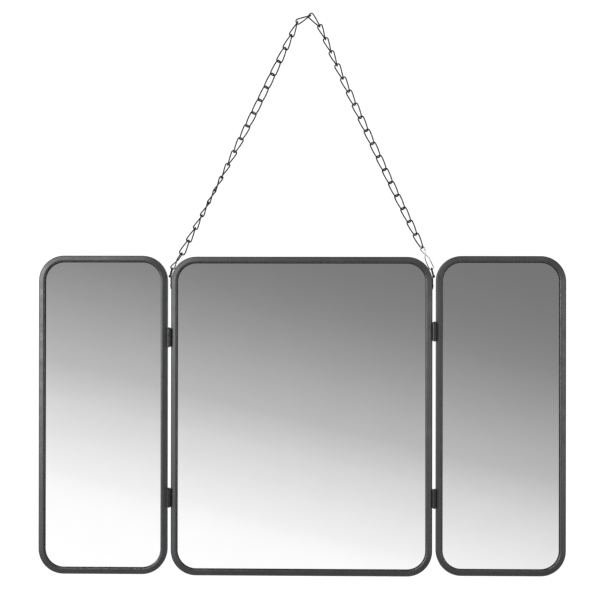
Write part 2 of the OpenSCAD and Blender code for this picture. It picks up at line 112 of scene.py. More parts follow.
# Slope of the lowest of those directions, and how much slope they span
FRONT_START, FRONT_SPAN = -0.2241, 0.30
# Height that a direction gains for its part along +X, and the least depth that its slope is taken over
FRONT_LEAN, FRONT_LEAST_DEPTH = 0.235, 0.05
# Y of a direction between which the light in front turns into the white behind the mirror
WHITE_BEHIND = (-0.35, -0.02)
# Z of a direction between which the dark below turns into full light, and the strengths of both
DARK_BELOW, STRENGTHS = (-0.42, -0.23), (0.18, 1.1)

# The floor's middle along Y, its size and the rounding of its edges
FLOOR_MIDDLE, FLOOR_SIZE, FLOOR_ROUNDING = -0.15, (2.4, 2.1, 0.04), 0.012
# Width of the camera's sensor in millimetres, and how near and far the camera sees
SENSOR_WIDTH = 36
NEAREST, FARTHEST = 0.05, 50

# Name, place, aim and size of each softbox, and the setting that holds its power
SOFTBOXES = (
    ("left_softbox", (-1.75, -1.9, -0.05), (0, 0, -0.55), (0.7, 1.4), "key_power"),
    ("right_softbox", (1.45, -2.0, -0.5), (0, 0, -0.55), (0.7, 1.0), "fill_power"),
    ("upper_left_softbox", (-0.85, -1.7, 0.75), (0, 0, -0.4), (1.0, 0.5), "top_power"),
    ("upper_right_softbox", (0.65, -1.7, 0.75), (0, 0, -0.4), (0.8, 0.4), "top_fill_power"),
)


# Sizes and colours that a user would change


def length(name, description, default, low, high):
    return FloatProperty(
        name=name, description=description, default=default, min=low, max=high,
        unit="LENGTH", precision=5,
    )


def angle(name, description, degrees):
    return FloatProperty(
        name=name, description=description, default=math.radians(degrees),
        min=-math.pi, max=math.pi, subtype="ANGLE",
    )


def power(name, description, watts):
    return FloatProperty(name=name, description=description, default=watts, min=0, unit="POWER")


def colour(name, description, default):
    return FloatVectorProperty(
        name=name, description=description, default=default, size=3, min=0, max=1, subtype="COLOR",
    )


class ChainSizes(bpy.types.PropertyGroup):
    """Sizes of the chain and of the connecting links at its ends"""

    pitch: length("Link pitch", "Inner length of a chain link", 0.0205, 0.018, 0.023)
    link_width: length("Link width", "Outer width of a chain link", 0.0102, 0.009, 0.012)
    link_bend: length("Link bend", "Radius of the wire's bends at a link's corners", 0.0028, 0.0022, 0.003)
    link_twist: angle("Link twist", "Angle through which a link is twisted from end to end", 55)
    wire_radius: length("Wire radius", "Radius of the chain's wire", 0.001, 0.0008, 0.00105)
    play: length("Play", "Space between two links that hang in each other", 0.0002, 0.00015, 0.0003)
    left_slope: angle("Left slope", "Slope of the top link on the left of the nail", 26)
    right_slope: angle("Right slope", "Slope of the top link on the right of the nail", 50.4)
    left_top_roll: angle("Left top roll", "Roll of the top link on the left, half-way along it", 69)
    right_top_roll: angle("Right top roll", "Roll of the top link on the right, half-way along it", 55)
    left_count: IntProperty(
        name="Left links", description="Links below the left top link", default=18, min=2,
    )
    right_count: IntProperty(
        name="Right links", description="Links below the right top link", default=17, min=2,
    )
    left_sag: length("Left sag", "How far the left run sags", 0.0024, 0, 0.004)
    right_sag: length("Right sag", "How far the right run sags", 0.00185, 0, 0.004)
    left_span: length("Left span", "Length of the left connecting link", 0.0252, 0.022, 0.03)
    right_span: length("Right span", "Length of the right connecting link", 0.0313, 0.026, 0.036)
    left_lean: angle("Left lean", "Lean of the left connecting link", 33.1)
    right_lean: angle("Right lean", "Lean of the right connecting link", 24.9)
    left_wire: length("Left wire", "Radius of the left connecting link's wire", 0.0009, 0.0006, 0.001)
    right_wire: length("Right wire", "Radius of the right connecting link's wire", 0.0008, 0.0006, 0.0009)
    eye_width: length("Eye width", "Width of a connecting link's eye", 0.0072, 0.0066, 0.008)
    left_loop: length("Left loop", "Width of the left connecting link's loop", 0.0075, 0.007, 0.0084)
    right_loop: length("Right loop", "Width of the right connecting link's loop", 0.008, 0.007, 0.0084)
    end_play: length("End play", "Space left where a connecting link is hooked in", 0.0003, 0.0002, 0.0005)
    loop_roll: angle("Loop roll", "Roll of the left connecting link's loop", -15)
    eye_roll: angle("Eye roll", "Roll of the left connecting link's eye", -105)
    right_twist: angle("Right twist", "Twist that crosses the right connecting link's legs", 180)


class MirrorSizes(bpy.types.PropertyGroup):
    """Sizes of the glass and of the small fixings behind it"""

    glass_corner: length("Glass corner", "Radius of the glass corners", 0.0268, 0.02, 0.05)
    arris: length("Arris", "Width of the ground edge round the glass", 0.0006, 0.0002, 0.001)
    seal_width: length("Seal width", "Thickness of the black seal round a pane", 0.0004, 0.0002, 0.0005)
    # The seal's lip lies near black over the pane's edge as painted shade along the frame's inner edge
    shade_lip: length("Seal lip", "How far the seal's lip lies over the pane", 0.0006, 0.0002, 0.002)
    recess_width: length("Recess width", "Width of a board screw's cross recess", 0.0008, 0.0004, 0.0012)
    recess_span: length("Recess span", "Length of each arm of the cross recess", 0.0030, 0.002, 0.004)


class MirrorColours(bpy.types.PropertyGroup):
    """Base colours of the finishes"""

    frame_paint: colour("Frame paint", "Dark grey satin paint", (0.024, 0.025, 0.027))
    silver: colour("Mirror", "Silvered glass", (0.915, 0.915, 0.915))
    glass_edge: colour("Glass edge", "Ground edge of the glass", (0.10, 0.15, 0.13))
    backing: colour("Backing paint", "Paint on the back of the glass", (0.20, 0.21, 0.22))
    hardboard: colour("Hardboard", "Brown backboard", (0.24, 0.14, 0.075))
    foam: colour("Foam tape", "White foam tape", (0.80, 0.80, 0.77))
    # The seal is near black so that it also paints the shade along the frames' inner edges, where the
    # inner wall is in shadow
    seal: colour("Seal", "Black rubber seal round the panes", (0.005, 0.005, 0.0055))
    chain_steel: colour("Chain steel", "Blackened chain steel", (0.007, 0.007, 0.007))
    chain_wear: colour("Chain wear", "Chain steel where it is rubbed", (0.055, 0.053, 0.051))
    fittings: colour("Fittings", "Black hinges and hangers", (0.006, 0.006, 0.007))
    fitting_wear: colour("Fitting wear", "Hinges and hangers where they are rubbed", (0.09, 0.09, 0.095))
    zinc: colour("Zinc", "Zinc-plated steel", (0.38, 0.385, 0.39))
    floor: colour("Floor", "Pale studio floor", (0.80, 0.80, 0.79))


class StudioSizes(bpy.types.PropertyGroup):
    """Camera, floor and light"""

    lens: FloatProperty(
        name="Lens", description="Focal length on a sensor 36 mm wide", default=84.2, min=20, max=200,
        unit="CAMERA",
    )
    distance: length("Distance", "From the camera to the chain's plane", 2.0, 1, 5)
    camera_x: length("Camera across", "Camera's place from left to right", 0.02865, -1, 1)
    camera_z: length("Camera height", "Camera's height above the nail", -0.4092, -2, 2)
    yaw: angle("Yaw", "Turn of the camera about the vertical", 1.24)
    pitch: angle("Pitch", "Tilt of the camera above the horizon", 0.10)
    roll: angle("Roll", "Turn of the camera about its own axis", 0.09)
    floor_drop: length("Floor drop", "Height of the nail above the floor", 1.75, 0.85, 2)
    key_power: power("Key light", "Power of the left softbox", 37)
    fill_power: power("Fill light", "Power of the right softbox", 9)
    top_power: power("Top light", "Power of the upper left softbox", 14)
    top_fill_power: power("Top fill light", "Power of the upper right softbox", 3.5)


# Shared helpers


def deselect_all():
    for item in bpy.context.selected_objects:
        item.select_set(False)
    bpy.context.view_layer.objects.active = None


def select_only(*pieces):
    deselect_all()
    for piece in pieces:
        piece.select_set(True)
    bpy.context.view_layer.objects.active = pieces[0]


@contextmanager
def edit_mode():
    """Edit mode on the active piece, for as long as the block lasts."""
    bpy.ops.object.mode_set(mode="EDIT")
    yield
    bpy.ops.object.mode_set(mode="OBJECT")


def freeze_place(piece):
    select_only(piece)
    bpy.ops.object.transform_apply(location=True, rotation=True, scale=True)


def apply_modifier(piece, kind, **values):
    select_only(piece)
    modifier = piece.modifiers.new(kind.title(), kind)
    for key, value in values.items():
        setattr(modifier, key, value)
    bpy.ops.object.modifier_apply(modifier=modifier.name)


def join_as(name, pieces):
    select_only(*pieces)
    if len(pieces) > 1:
        bpy.ops.object.join()
    whole = bpy.context.view_layer.objects.active
    whole.name = name
    whole.data.name = name
    return whole


def copy_of(piece, name):
    twin = piece.copy()
    twin.data = piece.data.copy()
    twin.name = name
    bpy.context.scene.collection.objects.link(twin)
    return twin


def remove(piece):
    mesh = piece.data
    bpy.data.objects.remove(piece)
    bpy.data.meshes.remove(mesh)


def smooth_by_angle(piece, degrees):
    select_only(piece)
    bpy.ops.object.shade_smooth_by_angle(angle=math.radians(degrees))


def select_edges(piece, wanted):
    """Selects the edges whose two ends pass the test, in object mode so that edit mode opens on them."""
    bpy.context.tool_settings.mesh_select_mode = (False, True, False)
    mesh = piece.data
    for vertex in mesh.vertices:
        vertex.select = False
    for face in mesh.polygons:
        face.select = False
    for edge in mesh.edges:
        a, b = (mesh.vertices[i].co for i in edge.vertices)
        edge.select = wanted(a, b)


def add_box(middle, size):
    deselect_all()
    bpy.ops.mesh.primitive_cube_add(size=1, location=middle, scale=size)
    box = bpy.context.object
    freeze_place(box)
    return box


def add_rod(x, z, start, end, radius, sides):
    """A round rod along Y from start to end."""
    deselect_all()
    bpy.ops.mesh.primitive_cylinder_add(
        vertices=sides, radius=radius, depth=end - start,
        location=(x, (start + end) / 2, z), rotation=(math.pi / 2, 0, 0),
    )
    rod = bpy.context.object
    freeze_place(rod)
    return rod


def rounded_box(low, high, corner):
    """A box whose four corners are round as seen from the front."""
    box = add_box((low + high) / 2, high - low)
    select_edges(box, lambda a, b: abs(a.y - b.y) > SAME_PLACE)
    with edit_mode():
        bpy.ops.mesh.bevel(offset=corner, segments=CORNER_SEGMENTS, affect="EDGES")
    return box


def settle(piece, body, slot, *nodes):
    """Hangs a finished piece on its body and hides the CAD nodes that it stands for."""
    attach(piece, body)
    if nodes:
        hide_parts(*nodes)


# Finishes


class Finish:
    """A principled material whose patterns read the piece's own coordinates, in metres"""

    def __init__(self, name, colour, roughness, metallic=0.0, **sockets):
        self.material = bpy.data.materials.new(name)
        self.material.use_nodes = True
        self.nodes = self.material.node_tree.nodes
        self.links = self.material.node_tree.links
        self.shader = self.nodes["Principled BSDF"]
        self.colour = tuple(colour)
        self.shader.inputs["Base Color"].default_value = (*self.colour, 1)
        self.shader.inputs["Roughness"].default_value = roughness
        self.shader.inputs["Metallic"].default_value = metallic
        for socket, value in sockets.items():
            self.shader.inputs[socket.replace("_", " ")].default_value = value
        self.coords = self.nodes.new("ShaderNodeTexCoord").outputs["Object"]
        # The outputs that feed the base colour and the normal so far
        self.tinted = None
        self.normal = None

    def stretched(self, stretch):
        mapping = self.nodes.new("ShaderNodeMapping")
        mapping.inputs["Scale"].default_value = stretch
        self.links.new(self.coords, mapping.inputs["Vector"])
        return mapping.outputs["Vector"]

    def noise(self, grain, detail=3, roughness=0.55, stretch=None):
        """Noise whose lumps are about as many metres across as the grain says."""
        node = self.nodes.new("ShaderNodeTexNoise")
        node.inputs["Scale"].default_value = 1 / grain
        node.inputs["Detail"].default_value = detail
        node.inputs["Roughness"].default_value = roughness
        self.links.new(self.stretched(stretch) if stretch else self.coords, node.inputs["Vector"])
        return node.outputs["Fac"]

    def weave(self, direction, width, distortion):
        """Waves of the given width that run along X, Y or Z."""
        node = self.nodes.new("ShaderNodeTexWave")
        node.bands_direction = direction
        node.inputs["Scale"].default_value = 1 / (width * WAVES_IN_METRE)
        node.inputs["Distortion"].default_value = distortion
        self.links.new(self.coords, node.inputs["Vector"])
        return node.outputs["Fac"]

    def span(self, value, low, high, start=NOISE_LOW, end=NOISE_HIGH):
        """Turns start to end into low to high."""
        node = self.nodes.new("ShaderNodeMapRange")
        node.inputs["From Min"].default_value = start
        node.inputs["From Max"].default_value = end
        node.inputs["To Min"].default_value = low
        node.inputs["To Max"].default_value = high
        self.links.new(value, node.inputs["Value"])
        return node.outputs["Result"]

    def colour_with(self, output):
        self.tinted = output
        self.links.new(output, self.shader.inputs["Base Color"])

    def tint(self, value, dark, light, start=NOISE_LOW, end=NOISE_HIGH):
        """Colours the surface between a darker and a lighter shade of its base."""
        ramp = self.nodes.new("ShaderNodeValToRGB")
        first, last = ramp.color_ramp.elements
        first.position, last.position = start, end
        first.color = (*[c * dark for c in self.colour], 1)
        last.color = (*[min(c * light, 1) for c in self.colour], 1)
        self.links.new(value, ramp.inputs["Fac"])
        self.colour_with(ramp.outputs["Color"])

    def spots(self, value, colour, start, end):
        """Lays another colour over the tint where the value is high."""
        mask = self.span(value, 0, 1, start, end)
        mix = self.nodes.new("ShaderNodeMix")
        mix.data_type = "RGBA"
        mix.inputs[MIX_OVER].default_value = (*colour, 1)
        self.links.new(mask, mix.inputs[MIX_FACTOR])
        self.links.new(self.tinted, mix.inputs[MIX_BASE])
        self.colour_with(mix.outputs[MIX_RESULT])

    def gloss(self, value, low, high):
        self.links.new(self.span(value, low, high), self.shader.inputs["Roughness"])

    def bump(self, value, depth, strength):
        """Raises the surface by the value. Several bumps chain into one another."""
        node = self.nodes.new("ShaderNodeBump")
        node.inputs["Strength"].default_value = strength
        node.inputs["Distance"].default_value = depth
        self.links.new(value, node.inputs["Height"])
        if self.normal:
            self.links.new(self.normal, node.inputs["Normal"])
        self.normal = node.outputs["Normal"]
        self.links.new(self.normal, self.shader.inputs["Normal"])


def shade(colour, factor):
    return [channel * factor for channel in colour]


def paint_finish(colours):
    """Sprayed satin paint with a fine pebbled skin and a few rubbed places"""
    paint = colours.frame_paint
    look = Finish("Dark grey frame paint", paint, roughness=0.36, Coat_Weight=0.08, Coat_Roughness=0.3)
    look.tint(look.noise(grain=0.030), dark=0.88, light=1.14)
    rubbed = look.noise(grain=0.0016, detail=2, stretch=(1, 1, 0.25))
    look.spots(rubbed, shade(paint, 1.9), start=0.70, end=0.82)
    look.gloss(look.noise(grain=0.012), low=0.31, high=0.42)
    look.bump(look.noise(grain=0.0011, detail=2), depth=0.00004, strength=0.3)
    return look.material


def silver_finish(colours):
    """Silvered glass, with a trace of unevenness in the silver"""
    look = Finish("Mirror silver", colours.silver, roughness=0.012, metallic=1)
    look.tint(look.noise(grain=0.06, detail=2), dark=0.985, light=1)
    look.gloss(look.noise(grain=0.05, detail=2), low=0.008, high=0.02)
    return look.material


def glass_edge_finish(colours):
    """Ground green-grey edge of float glass"""
    look = Finish("Ground glass edge", colours.glass_edge, roughness=0.3)
    look.tint(look.noise(grain=0.004), dark=0.8, light=1.25)
    look.gloss(look.noise(grain=0.002), low=0.22, high=0.38)
    look.bump(look.noise(grain=0.0006, detail=1), depth=0.00003, strength=0.4)
    return look.material


def backing_finish(colours):
    """Grey protective paint behind the silver"""
    look = Finish("Mirror backing paint", colours.backing, roughness=0.55)
    look.tint(look.noise(grain=0.02), dark=0.9, light=1.1)
    look.gloss(look.noise(grain=0.01), low=0.5, high=0.62)
    look.bump(look.noise(grain=0.0015), depth=0.00004, strength=0.4)
    return look.material


def hardboard_finish(colours):
    """Pressed brown board with short fibres and a faint screen print from the press"""
    board = colours.hardboard
    look = Finish("Brown hardboard", board, roughness=0.72, Specular_IOR_Level=0.3)
    fibres = look.noise(grain=0.0022, detail=5, roughness=0.7, stretch=(1, 1, 0.45))
    look.tint(fibres, dark=0.80, light=1.20, start=0.25, end=0.75)
    look.spots(look.noise(grain=0.045), shade(board, 0.84), start=0.42, end=0.75)
    look.spots(look.noise(grain=0.0013), shade(board, 0.45), start=0.64, end=0.76)
    look.gloss(fibres, low=0.64, high=0.82)
    for direction in ("X", "Z"):
        look.bump(look.weave(direction, width=0.0018, distortion=0.6), depth=0.00012, strength=0.5)
    look.bump(fibres, depth=0.00015, strength=0.5)
    return look.material


def foam_finish(colours):
    """White closed-cell foam"""
    look = Finish("White foam tape", colours.foam, roughness=0.8)
    look.tint(look.noise(grain=0.006), dark=0.9, light=1.05)
    look.bump(look.noise(grain=0.0008, detail=2), depth=0.0001, strength=0.6)
    return look.material


def seal_and_shade_finish(colours):
    """Matt black rubber, so dark that it also paints the shade along the frames' inner edges"""
    # The material is named for the seal, and its near-black colour is painted shade as well
    look = Finish("Black rubber seal", colours.seal, roughness=0.66, Specular_IOR_Level=0.25)
    look.tint(look.noise(grain=0.005), dark=0.8, light=1.3)
    look.bump(look.noise(grain=0.0006, detail=2), depth=0.00003, strength=0.4)
    return look.material


def chain_finish(colours):
    """Blackened steel wire, worn brighter in places"""
    look = Finish("Blackened chain steel", colours.chain_steel, roughness=0.45, Specular_IOR_Level=0.28)
    look.tint(look.noise(grain=0.008), dark=0.7, light=1.5)
    look.spots(look.noise(grain=0.0022), colours.chain_wear, start=0.66, end=0.8)
    look.gloss(look.noise(grain=0.0025), low=0.36, high=0.55)
    look.bump(look.noise(grain=0.0007, detail=2), depth=0.00002, strength=0.5)
    return look.material


def fitting_finish(colours):
    """Black enamel over steel, with bare specks where the parts rub"""
    look = Finish("Black fittings", colours.fittings, roughness=0.22, Specular_IOR_Level=0.42)
    look.tint(look.noise(grain=0.006), dark=0.75, light=1.35)
    look.spots(look.noise(grain=0.0012), colours.fitting_wear, start=0.70, end=0.8)
    look.gloss(look.noise(grain=0.003), low=0.18, high=0.30)
    look.bump(look.noise(grain=0.0008, detail=2), depth=0.00003, strength=0.5)
    return look.material


def zinc_finish(colours):
    """Bright zinc plate with cloudy patches and a fine grain"""
    look = Finish("Zinc plate", colours.zinc, roughness=0.3, metallic=0.9)
    look.tint(look.noise(grain=0.003), dark=0.78, light=1.12)
    look.gloss(look.noise(grain=0.0015), low=0.22, high=0.4)
    look.bump(look.noise(grain=0.0005, detail=2), depth=0.00002, strength=0.5)
    return look.material


def floor_finish(colours):
    """Pale matt floor with a faint unevenness"""
    look = Finish("Pale studio floor", colours.floor, roughness=0.6)
    look.tint(look.noise(grain=0.25), dark=0.97, light=1.03)
    look.bump(look.noise(grain=0.002), depth=0.0001, strength=0.3)
    return look.material


FINISHES = {
    "frame_paint": paint_finish,
    "mirror_silver": silver_finish,
    "glass_edge": glass_edge_finish,
    "backing": backing_finish,
    "backboard": hardboard_finish,
    "foam_tape": foam_finish,
    "seal": seal_and_shade_finish,
    "chain_black": chain_finish,
    "black_fittings": fitting_finish,
    "zinc_steel": zinc_finish,
    "floor": floor_finish,
}
made_finishes = {}


def finish(name):
    """The named material, made the first time it is asked for."""
    if name not in made_finishes:
        made_finishes[name] = FINISHES[name](bpy.context.scene.mirror_colours)
    return made_finishes[name]


def dress(piece, *names):
    piece.data.materials.clear()
    for name in names:
        piece.data.materials.append(finish(name))


def dress_node(node, name):
    """A CAD node keeps its mesh and takes a better material."""
    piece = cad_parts[node]
    if not piece.material_slots:
        raise RuntimeError(f"{node} has no material slot")
    for material_slot in piece.material_slots:
        material_slot.material = finish(name)


# Links of bent wire


def half_turn(x, half_width, bend, way):
    """Carries the selected ring of wire round one end of a link, with a straight tip between two bends."""
    flat = half_width - bend
    quarter = {"steps": BEND_STEPS, "angle": math.pi / 2, "axis": (0, 0, 1)}
    bpy.ops.mesh.spin(center=(x, -way * flat, 0), **quarter)
    if flat > SAME_PLACE:
        bpy.ops.mesh.extrude_region_move(TRANSFORM_OT_translate={"value": (0, way * 2 * flat, 0)})
    bpy.ops.mesh.spin(center=(x, way * flat, 0), **quarter)


def straight_leg(along, across):
    """Carries the selected ring of wire along one leg of a link."""
    step = (along / LEG_STEPS, across / LEG_STEPS, 0)
    for _ in range(LEG_STEPS):
        bpy.ops.mesh.extrude_region_move(TRANSFORM_OT_translate={"value": step})


def wire_link(leg, near, far, near_bend, far_bend, radius, twist, share=1):
    """A closed link along +X with near and far half widths. Its near bends start at the origin."""
    deselect_all()
    bpy.ops.mesh.primitive_circle_add(
        vertices=WIRE_SIDES, radius=radius, location=(0, -near, 0), rotation=(0, math.pi / 2, 0),
    )
    link = bpy.context.object
    freeze_place(link)
    with edit_mode():
        bpy.ops.mesh.select_all(action="SELECT")
        half_turn(0, near, near_bend, 1)
        straight_leg(leg, far - near)
        half_turn(leg, far, far_bend, -1)
        straight_leg(-leg, far - near)
        bpy.ops.mesh.select_all(action="SELECT")
        bpy.ops.mesh.remove_doubles(threshold=SAME_PLACE)
        bpy.ops.mesh.normals_make_consistent(inside=False)
    whole = near_bend + leg + far_bend + 2 * radius
    start = (near_bend + radius) / whole
    apply_modifier(
        link, "SIMPLE_DEFORM", deform_method="TWIST", deform_axis="X", angle=twist,
        limits=(start, start + leg * share / whole),
    )
    select_only(link)
    bpy.ops.object.shade_smooth()
    return link


def place_link(link, start, end, seat, bend, roll):
    """Lays a link from the wire at start towards the wire at end, rolled about the line between them."""
    along = (end - start).normalized()
    flat = BACKWARDS.cross(along)
    turn = Matrix((along, flat, BACKWARDS)).transposed() @ Matrix.Rotation(roll, 3, "X")
    link.matrix_world = Matrix.Translation(start + (bend - seat) * along) @ turn.to_4x4()
    freeze_place(link)


def ring_top(side):
    """Middle of the wire at the top of a D-ring."""
    low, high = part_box(side + "_d_ring")
    x = low.x + RING_WIRE if side == "right" else high.x - RING_WIRE
    return Vector((x, 0, high.z - RING_WIRE))


def run_end(side, sizes):
    """Where the lowest link of a run meets its connecting link."""
    span, lean = getattr(sizes, side + "_span"), getattr(sizes, side + "_lean")
    return ring_top(side) + span * Vector((-WAY[side] * math.sin(lean), 0, math.cos(lean)))


def run_joints(side, sizes):
    """The joints of a run from the nail down. Below its top link the run sags in a parabola."""
    nail = Vector((0, 0, 0))
    slope, count = getattr(sizes, side + "_slope"), getattr(sizes, side + "_count")
    knee = nail + sizes.pitch * Vector((WAY[side] * math.cos(slope), 0, -math.sin(slope)))
    run = run_end(side, sizes) - knee
    sag = 4 * getattr(sizes, side + "_sag") * WAY[side] * BACKWARDS.cross(run.normalized())
    shares = [i / count for i in range(count + 1)]
    return [nail] + [knee + share * run + share * (1 - share) * sag for share in shares]


def roll_at(side, share):
    """Roll of a link half-way along it, in radians."""
    knots = ROLLS[side]
    for (low, start), (high, end) in zip(knots, knots[1:]):
        if share <= high:
            break
    return math.radians(start + (end - start) * (share - low) / (high - low))


def run_links(side, sizes):
    """Start, end, seat and roll of each link from the nail down. Left links start at their foot."""
    joints = run_joints(side, sizes)
    lower_links = len(joints) - 2
    rolls = [getattr(sizes, side + "_top_roll")]
    rolls += [roll_at(side, i / (lower_links - 1)) for i in range(lower_links)]
    seats = [2 * sizes.wire_radius + sizes.play] * len(rolls)
    if side == "right":
        return list(zip(joints, joints[1:], seats, rolls))
    seats[-1] = sizes.wire_radius + sizes.left_wire + sizes.play
    return list(zip(joints[1:], joints, seats, rolls))


# Operators


class MIRROR_OT_tube_frames(bpy.types.Operator):
    """Paint the three tube frames and the lugs welded inside them"""

    bl_idname = "mirror.tube_frames"
    bl_label = "Tube Frames"

    def execute(self, context):
        for panel in PANELS:
            dress_node(panel + "_frame", "frame_paint")
            dress_node(panel + "_lugs", "frame_paint")
        return {"FINISHED"}


class MIRROR_OT_mirror_panes(bpy.types.Operator):
    """Make the mirror panes, with rounded corners and a ground edge"""

    bl_idname = "mirror.mirror_panes"
    bl_label = "Mirror Panes"

    def pane(self, panel, sizes):
        low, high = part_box(panel + "_glass")
        pane = rounded_box(low, high, sizes.glass_corner)
        select_edges(pane, lambda a, b: abs(a.y - b.y) < SAME_PLACE)
        with edit_mode():
            bpy.ops.mesh.bevel(offset=sizes.arris, segments=1, affect="EDGES")
        pane.name = panel + "_mirror_pane"
        dress(pane, "mirror_silver", "glass_edge", "backing")
        for face in pane.data.polygons:
            is_front, is_back = face.normal.y < -FACING, face.normal.y > FACING
            face.material_index = 0 if is_front else 2 if is_back else 1
        smooth_by_angle(pane, degrees=20)
        return pane

    def execute(self, context):
        for panel in PANELS:
            pane = self.pane(panel, context.scene.mirror_sizes)
            settle(pane, BODY_OF_PANEL[panel], "mirror_glass", panel + "_glass")
        return {"FINISHED"}


class MIRROR_OT_pane_seals(bpy.types.Operator):
    """Make the black seal in the gap round each pane, with a lip that lies on the glass as painted shade
    along the frame's inner edge
    """

    bl_idname = "mirror.pane_seals"
    bl_label = "Pane Seals"

    def ring(self, low, high, corner, thickness):
        """A rounded ring that fills the given box from back to front and has the given wall."""
        ring = rounded_box(low, high, corner)
        for face in ring.data.polygons:
            face.select = abs(face.normal.y) > FACING
        bpy.context.tool_settings.mesh_select_mode = (False, False, True)
        with edit_mode():
            bpy.ops.mesh.delete(type="ONLY_FACE")
        apply_modifier(ring, "SOLIDIFY", thickness=thickness, offset=-1)
        smooth_by_angle(ring, degrees=30)
        return ring

    def execute(self, context):
        sizes = context.scene.mirror_sizes
        gap = (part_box("centre_glass")[0].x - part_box("centre_frame")[0].x) - TUBE_WIDTH
        reach = (gap + sizes.seal_width) / 2
        corner = sizes.glass_corner + reach
        for panel in PANELS:
            low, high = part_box(panel + "_glass")
            low, high = low - Vector((reach, 0, reach)), high + Vector((reach, 0, reach))
            wall = self.ring(low, high, corner, sizes.seal_width)
            # The lip is a near-black ring over the edge of the glass that paints the shade of the frame's
            # inner wall
            low.y, high.y = low.y - sizes.seal_width, low.y - SHADE_LIP_GAP
            lip = self.ring(low, high, corner, reach + sizes.shade_lip)
            seal = join_as(panel + "_pane_seal", [wall, lip])
            dress(seal, "seal")
            settle(seal, BODY_OF_PANEL[panel], "black_fittings")
        return {"FINISHED"}


class MIRROR_OT_backboards(bpy.types.Operator):
    """Finish the hardboard backs and the foam tape that holds the panes on them"""

    bl_idname = "mirror.backboards"
    bl_label = "Backboards"

    def execute(self, context):
        for panel in PANELS:
            dress_node(panel + "_backboard", "backboard")
            dress_node(panel + "_tape", "foam_tape")
        return {"FINISHED"}


class MIRROR_OT_board_screws(bpy.types.Operator):
    """Make the pan-head screws that hold the boards, each with a cross recess"""

    bl_idname = "mirror.board_screws"
    bl_label = "Board Screws"

    def screw(self, low, high, sizes):
        """One screw that points along -Y, its head towards +Y, filling the given box."""
        middle = (low + high) / 2
        neck = high.y - SCREW_HEAD_HEIGHT
        head = add_rod(middle.x, middle.z, neck, high.y, (high.x - low.x) / 2, SCREW_HEAD_SIDES)
        select_edges(head, lambda a, b: min(a.y, b.y) > high.y - SAME_PLACE)
        with edit_mode():
            bpy.ops.mesh.bevel(offset=SCREW_HEAD_ROUNDING, segments=EDGE_SEGMENTS, affect="EDGES")
        shank = add_rod(middle.x, middle.z, low.y, neck, SCREW_SHANK_RADIUS, SCREW_SHANK_SIDES)
        screw = join_as("screw", [head, shank])
        arm = (sizes.recess_span, sizes.recess_width)
        for across, up in (arm, reversed(arm)):
            cutter = add_box((middle.x, high.y, middle.z), (across, 2 * RECESS_DEPTH, up))
            apply_modifier(screw, "BOOLEAN", operation="DIFFERENCE", object=cutter, solver="EXACT")
            remove(cutter)
        smooth_by_angle(screw, degrees=35)
        return screw

    def solid_boxes(self, node):
        """The box of each solid of a CAD node."""
        probe = copy_of(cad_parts[node], "probe")
        probe.parent = None
        select_only(probe)
        with edit_mode():
            bpy.ops.mesh.select_all(action="SELECT")
            bpy.ops.mesh.remove_doubles(threshold=SAME_PLACE)
            bpy.ops.mesh.separate(type="LOOSE")
        boxes = []
        for solid in list(bpy.context.selected_objects):
            axes = list(zip(*[vertex.co for vertex in solid.data.vertices]))
            low, high = Vector([min(axis) for axis in axes]), Vector([max(axis) for axis in axes])
            boxes.append((low, high))
            remove(solid)
        return boxes

    def execute(self, context):
        sizes = context.scene.mirror_sizes
        for panel in PANELS:
            node = panel + "_board_screws"
            (low, high), *others = self.solid_boxes(node)
            screws = [self.screw(low, high, sizes)]
            for twin_low, _ in others:
                twin = copy_of(screws[0], "screw")
                twin.location = twin_low - low
                freeze_place(twin)
                screws.append(twin)
            whole = join_as(panel + "_cross_head_screws", screws)
            dress(whole, "zinc_steel")
            settle(whole, BODY_OF_PANEL[panel], "zinc_steel", node)
        return {"FINISHED"}


class MIRROR_OT_hinges(bpy.types.Operator):
    """Finish the leaves, pins and screws of the four hinges"""

    bl_idname = "mirror.hinges"
    bl_label = "Hinges"

    def execute(self, context):
        for level in ("upper", "lower"):
            for side in ("left", "right"):
                for part in ("fixed_leaf", "wing_leaf", "pin"):
                    dress_node(f"{level}_{side}_{part}", "black_fittings")
        for panel in PANELS:
            dress_node(panel + "_leaf_screws", "black_fittings")
        return {"FINISHED"}


class MIRROR_OT_hangers(bpy.types.Operator):
    """Finish the D-rings, the straps that hold them and the rivets"""

    bl_idname = "mirror.hangers"
    bl_label = "Hangers"

    def execute(self, context):
        for side in ("left", "right"):
            dress_node(side + "_hanger_strap", "black_fittings")
            dress_node(side + "_d_ring", "black_fittings")
        dress_node("hanger_rivets", "black_fittings")
        return {"FINISHED"}


class MIRROR_OT_chain(bpy.types.Operator):
    """Make the two runs of twisted links that hang the mirror from its nail"""

    bl_idname = "mirror.chain"
    bl_label = "Chain"

    def execute(self, context):
        sizes = context.scene.chain_sizes
        bend, half_width = sizes.link_bend, sizes.link_width / 2 - sizes.wire_radius
        models = {}
        for side in ("left", "right"):
            links = []
            for start, end, seat, middle_roll in run_links(side, sizes):
                leg = (end - start).length + seat - 2 * bend
                key = round(leg, LEG_DECIMALS)
                if key not in models:
                    models[key] = wire_link(
                        leg, half_width, half_width, bend, bend, sizes.wire_radius, sizes.link_twist,
                    )
                link = copy_of(models[key], "link")
                place_link(link, start, end, seat, bend, middle_roll - sizes.link_twist / 2)
                links.append(link)
            whole = join_as(side + "_chain_links", links)
            dress(whole, "chain_black")
            settle(whole, "chain", "chain_black", f"chain_{side}_run")
        for model in models.values():
            remove(model)
        return {"FINISHED"}


